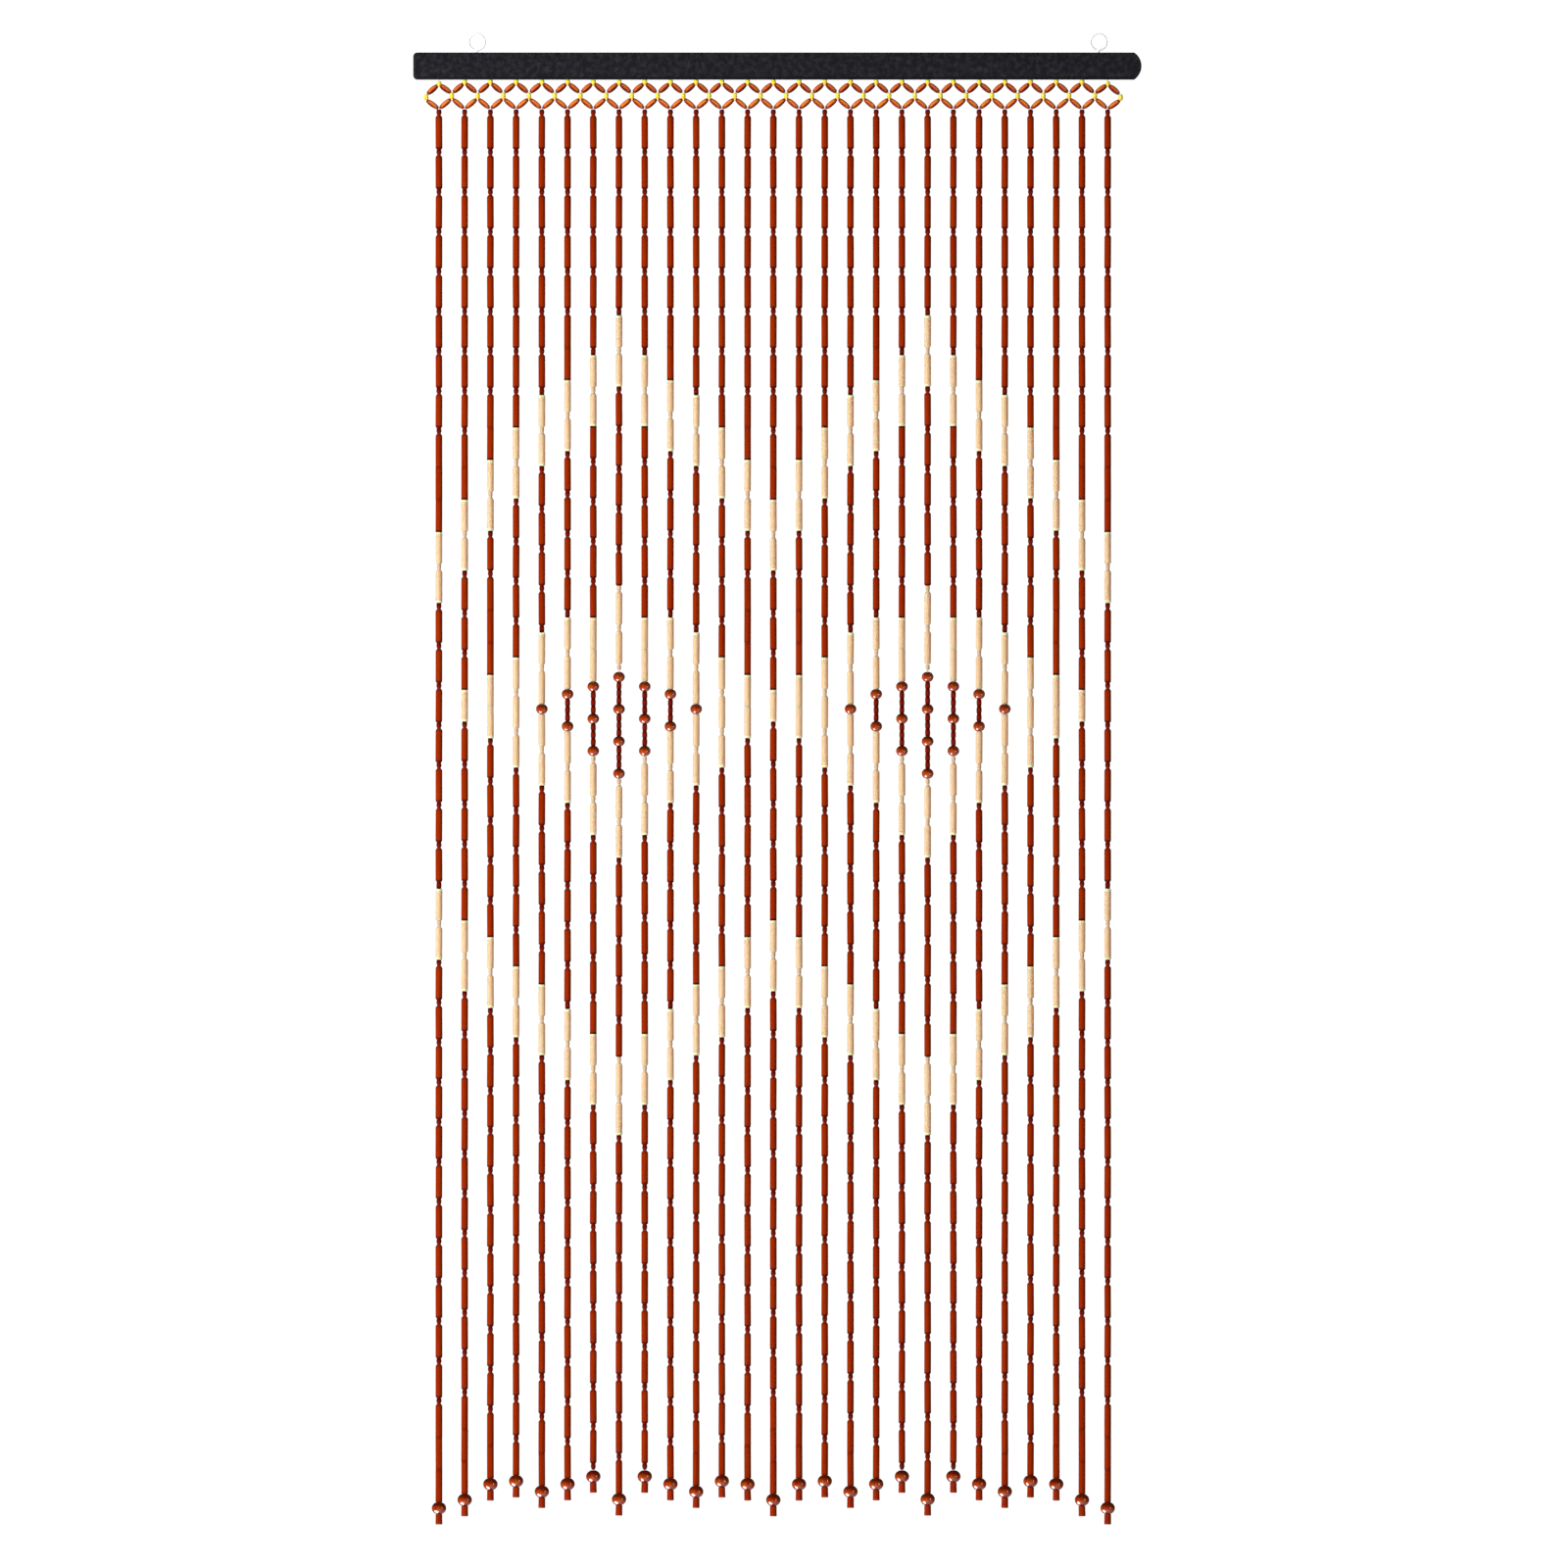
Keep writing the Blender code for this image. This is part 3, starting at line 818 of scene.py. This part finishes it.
def pale_spacer_wood():
    """Pale pinkish wood, a little cloudy."""
    material, tree, shader = new_material(
        "pale_spacer_wood",
        Roughness=0.4,
        Specular_IOR_Level=0.2,
        Subsurface_Weight=0.3,
        Subsurface_Scale=0.002,
    )
    _, tone, moved = bead_coordinates(tree, (1, 1, 0.15))
    cloud = add_node(tree, "TexNoise", Vector=moved, Scale=600.0, Detail=3.0).outputs["Fac"]
    colour = mix_colours(
        tree, remap(tree, cloud, 0.3, 0.7), (0.560, 0.385, 0.219, 1), (0.682, 0.499, 0.306, 1)
    )
    colour = mix_colours(tree, remap(tree, tone, 0, 1, 0, 0.3), colour, (0.542, 0.367, 0.280, 1))
    tree.links.new(colour, shader.inputs["Base Color"])
    add_bump(tree, shader, cloud, 0.1, 0.0001)
    return material


pale_tubes = thread_on("pale_tube_beads", tube_stock("t", pale_feet, pale_heads), 30)
hand_in(pale_tubes, "bead_net", natural_wood())
pale_spacer = turn_bead(10, pale_spacer_rows)
pale_spacers = thread_on("pale_spacer_beads", [(pale_spacer, nudged_to_balls("p", step=0.0008))])
hand_in(pale_spacers, "bead_net", pale_spacer_wood())


# The balls
# Turned wooden balls, a little flattened, stained orange-brown under thick gloss lacquer: small
# ones form the two medallions, and a larger one, flatter still, weights the foot of each string.
def lacquered_ball_wood():
    """Orange-brown wood under clear gloss, with painted shade: maroon over its upper half and
    darker red towards its foot.
    """
    material, tree, shader = new_material(
        "lacquered_ball_wood",
        Roughness=0.6,
        Specular_IOR_Level=0.0,
        Coat_Weight=1.0,
        Coat_Roughness=0.08,
        Coat_IOR=1.8,
    )
    own, tone, moved = bead_coordinates(tree, (1, 1, 0.12))
    grain = add_node(tree, "TexNoise", Vector=moved, Scale=500.0, Detail=4.0).outputs["Fac"]
    colour = mix_colours(
        tree, remap(tree, grain, 0.3, 0.7), (0.315, 0.0105, 0.0002, 1), (0.507, 0.0875, 0.0003, 1)
    )
    colour = mix_colours(tree, remap(tree, tone, 0, 1, 0, 0.3), colour, (0.298, 0.0105, 0.0003, 1))
    height = add_node(tree, "SeparateXYZ", Vector=own).outputs["Z"]
    # Painted shade: the upper half turns maroon.
    painted_top_shade = remap(tree, height, -0.0008, 0.0042, 0, 0.88)
    colour = mix_colours(tree, painted_top_shade, colour, (0.0481, 0.0009, 0.0009, 1))
    # Painted shade: darker red towards the foot.
    foot = remap(tree, height, -0.0058, -0.0028, 0.8, 0)
    colour = mix_colours(tree, foot, colour, (0.193, 0.0035, 0.0009, 1))
    tree.links.new(colour, shader.inputs["Base Color"])
    add_bump(tree, shader, grain, 0.05, 0.0001)
    return material


ball_wood = lacquered_ball_wood()
ball_rows = round_rows(width=14.6, height=12.6, flat=4.0, rings=14)
ball = turn_bead(24, ball_rows, hole=1.0)
balls = thread_on("medallion_balls", [(ball, places_of("B"))])
hand_in(balls, "bead_net", ball_wood)
end_ball_rows = round_rows(width=18.0, height=15.0, flat=5.4, rings=14)
end_ball = turn_bead(28, end_ball_rows, hole=1.2)
end_balls = thread_on("end_balls", [(end_ball, places_of("E"))])
hand_in(end_balls, "bead_net", ball_wood)


# The tail beads
# A short end of the same stained dowel closes each string under its ball, and hides the knot.
# Its foot is a little flared, and its end grain has taken the stain in pinker streaks.
tail_rows = ((4.0, -6.4), (4.35, -5.8), (4.3, -3.5), (4.2, 0.0), (4.2, 5.8), (3.95, 6.25))
tail_bead = marked_bead(20, tail_rows, foot_ring=0.8, head_ring=0.0, hole=1.5)
tail_wood = red_stained_wood(
    "red_stained_tail_wood",
    half_length=0.0060,
    light=(0.333, 0.0298, 0.0035, 1),
    dark=(0.210, 0.0105, 0.0013, 1),
    ring_colour=(0.333, 0.0227, 0.0044, 1),
)
tails = thread_on("tail_beads", [(tail_bead, places_of("L"))], 26)
hand_in(tails, "bead_net", tail_wood)


# The thread and its knots
# Two clear nylon threads run from the bar through the net's beads, meet at a small knot at each
# string's root, and go down side by side through the string to a knot under its tail bead.
thread_radius = 0.00045
way_into_bar = 0.004
tail_stop = 0.0008
tail_knot_rise = 0.0012
neck_below_middle = 0.0027


def thread_route(index, side):
    """The points of one of a string's two threads, from inside the bar to the tail bead."""
    top = top_yellow_place(index)
    low = low_yellow_place(index if side < 0 else index + 1)
    root = root_place(index)
    beside = Vector((side * thread_radius, 0, 0))
    in_bar = Vector((top.x, 0, underside + way_into_bar)) + beside
    foot = Vector((root.x, 0, string_ends[index] + tail_stop)) + beside
    return [in_bar, top + beside, low - hole_drop, low + hole_drop, root + beside, foot]


threads = bpy.data.curves.new("nylon_threads", "CURVE")
threads.dimensions = "3D"
threads.bevel_depth = thread_radius
threads.bevel_resolution = 1
threads.use_fill_caps = True
for index in range(string_count):
    for side in (-1, 1):
        route = thread_route(index, side)
        spline = threads.splines.new("POLY")
        spline.points.add(len(route) - 1)
        for point, place in zip(spline.points, route):
            point.co = (*place, 1)
thread_curve = bpy.data.objects.new("nylon_threads", threads)
bpy.context.scene.collection.objects.link(thread_curve)
deselect_all()
thread_curve.select_set(True)
bpy.context.view_layer.objects.active = thread_curve
bpy.ops.object.convert(target="MESH")
nylon_threads = bpy.context.object
edit(nylon_threads, "VERT")
bpy.ops.mesh.select_all(action="SELECT")
bpy.ops.mesh.remove_doubles(threshold=1e-6)
close_edit(50)


def tied_knot():
    """Two tight turns of thread, crossed."""
    turns = []
    for lean in (-0.5, 0.6):
        deselect_all()
        bpy.ops.mesh.primitive_torus_add(
            major_segments=14,
            minor_segments=8,
            major_radius=0.0008,
            minor_radius=0.0007,
            rotation=(lean, -lean, 0),
        )
        turns.append(bpy.context.object)
    for turn in turns:
        turn.select_set(True)
    bpy.ops.object.join()
    bpy.ops.object.transform_apply(rotation=True)
    return bpy.context.object


def nylon(name, light, dark):
    """Milky nylon thread, clear or tinted by the beads' stain."""
    material, tree, shader = new_material(name, Roughness=0.45, Specular_IOR_Level=0.2)
    place = add_node(tree, "TexCoord").outputs["Object"]
    haze = add_node(tree, "TexNoise", Vector=place, Scale=500.0, Detail=2.0).outputs["Fac"]
    colour = mix_colours(tree, remap(tree, haze, 0.3, 0.7), dark, light)
    tree.links.new(colour, shader.inputs["Base Color"])
    add_bump(tree, shader, haze, 0.3, 0.0002)
    return material


clear_nylon = nylon("clear_nylon", light=(0.80, 0.74, 0.82, 1), dark=(0.58, 0.50, 0.60, 1))
hand_in(nylon_threads, "bead_net", clear_nylon)
knot_places = [
    Matrix.Translation(root_place(index)) @ Matrix.Diagonal((1, 1, 1.4, 1))
    for index in range(string_count)
]
knot_places += [
    Matrix.Translation((string_x(index), 0, string_ends[index] + tail_knot_rise))
    for index in range(string_count)
]
knots = thread_on("thread_knots", [(tied_knot(), knot_places)], 60)
hand_in(knots, "bead_net", clear_nylon)

# The knot that holds up each spacer shows as a neck between it and the bead under it.
neck_rows = ((2.1, -1.0), (2.4, -0.4), (2.4, 0.4), (2.1, 1.0))
neck_drop = Matrix.Translation((0, 0, -neck_below_middle))


def neck_places(letter):
    """The places of the knots under a letter's beads, but not where the beads meet end to end."""
    return [
        place @ neck_drop
        for key, places in bead_places.items()
        if key[1] == letter and key[1:] not in ("st", "pB")
        for place in places
    ]


neck_knots = thread_on("neck_knots", [(turn_bead(8, neck_rows), neck_places("s"))], 60)
mauve_nylon = nylon("mauve_nylon", light=(0.17, 0.03, 0.045, 1), dark=(0.09, 0.004, 0.006, 1))
hand_in(neck_knots, "bead_net", mauve_nylon)
pale_neck_knots = thread_on("pale_neck_knots", [(turn_bead(8, neck_rows), neck_places("p"))], 60)
pink_nylon = nylon("pink_nylon", light=(0.76, 0.52, 0.36, 1), dark=(0.60, 0.38, 0.24, 1))
hand_in(pale_neck_knots, "bead_net", pink_nylon)


# The stage
# A wide pale floor well below the strings' ends, a white surround, and soft light: a large lamp
# front left, a low one and a right one that only shine in the balls, and two for the back.
floor_drop = 3.1
floor_radius = 22
camera_distance = 20.0
frame_width = 1.938
frame_middle_x, frame_middle_z = -0.0045, -0.9256
curtain_middle = Vector((0, 0, -0.93))
deselect_all()
bpy.ops.mesh.primitive_circle_add(
    vertices=96, radius=floor_radius, fill_type="NGON", location=(0, 0, net_low.z - floor_drop)
)
floor = bpy.context.object
floor.name = "floor"
bpy.ops.object.transform_apply(location=True)
floor_paint, floor_tree, floor_shader = new_material(
    "pale_floor", Roughness=0.9, Base_Color=(0.88, 0.88, 0.88, 1), Emission_Color=(1, 1, 1, 1)
)
floor_place = add_node(floor_tree, "TexCoord").outputs["Object"]
floor_mark = add_node(floor_tree, "SeparateXYZ", Vector=floor_place)
flat_place = add_node(floor_tree, "CombineXYZ", X=floor_mark.outputs[0], Y=floor_mark.outputs[1])
away = add_node(floor_tree, "VectorMath", {"operation": "LENGTH"})
floor_tree.links.new(flat_place.outputs[0], away.inputs[0])
floor_seen = add_node(floor_tree, "LightPath").outputs["Is Camera Ray"]
glow = remap(floor_tree, away.outputs["Value"], 2.0, 8.0, 0.7, 1.1)
glow = calculate(floor_tree, "MULTIPLY", glow, floor_seen)
floor_tree.links.new(glow, floor_shader.inputs["Emission Strength"])
floor.data.materials.append(floor_paint)

world = bpy.data.worlds.new("white_surround")
bpy.context.scene.world = world
world.use_nodes = True
surround = world.node_tree.nodes["Background"]
surround.inputs["Color"].default_value = (1, 1, 1, 1)
ray = add_node(world.node_tree, "LightPath")
soft_fill = remap(world.node_tree, ray.outputs["Is Glossy Ray"], 0, 1, 0.10, 0.02)
in_view = calculate(world.node_tree, "MULTIPLY", ray.outputs["Is Camera Ray"], 1.05)
world.node_tree.links.new(
    calculate(world.node_tree, "MAXIMUM", soft_fill, in_view), surround.inputs["Strength"]
)


def add_lamp(name, azimuth, elevation, distance, size, brightness):
    """A square lamp that faces the curtain, from an angle to the left and one upwards.

    Its brightness is what a white surface that faces it at the curtain's middle sends back.
    """
    data = bpy.data.lights.new(name, "AREA")
    data.shape = "SQUARE"
    data.size = size
    data.energy = brightness * math.pi ** 2 * distance ** 2
    lamp = bpy.data.objects.new(name, data)
    bpy.context.scene.collection.objects.link(lamp)
    left, up = math.radians(azimuth), math.radians(elevation)
    aim = Vector((-math.sin(left) * math.cos(up), -math.cos(left) * math.cos(up), math.sin(up)))
    lamp.location = curtain_middle + aim * distance
    lamp.rotation_euler = (-aim).to_track_quat("-Z", "Y").to_euler()
    return lamp


key_lamp = add_lamp(
    "front_left_lamp", azimuth=39, elevation=6, distance=6.0, size=2.6, brightness=1.42
)
key_lamp.visible_glossy = False
low_lamp = add_lamp(
    "low_left_lamp", azimuth=86, elevation=-62, distance=3.4, size=1.8, brightness=1.8
)
low_lamp.visible_diffuse = False
right_lamp = add_lamp(
    "right_lamp", azimuth=-48, elevation=-8, distance=4.0, size=0.8, brightness=0.14
)
right_lamp.visible_diffuse = False
for name, azimuth, brightness in (("back_lamp", 176, 0.8), ("back_right_lamp", -118, 0.25)):
    back_lamp = add_lamp(
        name, azimuth, elevation=10, distance=6.0, size=2.6, brightness=brightness
    )
    back_lamp.visible_camera = False
    back_lamp.visible_glossy = False

camera_data = bpy.data.cameras.new("camera")
camera_data.sensor_width = 36
camera_data.lens = camera_data.sensor_width * camera_distance / frame_width
camera_data.clip_end = 100
camera = bpy.data.objects.new("camera", camera_data)
bpy.context.scene.collection.objects.link(camera)
camera.location = (frame_middle_x, -camera_distance, frame_middle_z)
camera.rotation_euler = (math.radians(90), 0, 0)
bpy.context.scene.camera = camera
bpy.context.scene.view_settings.view_transform = "Standard"
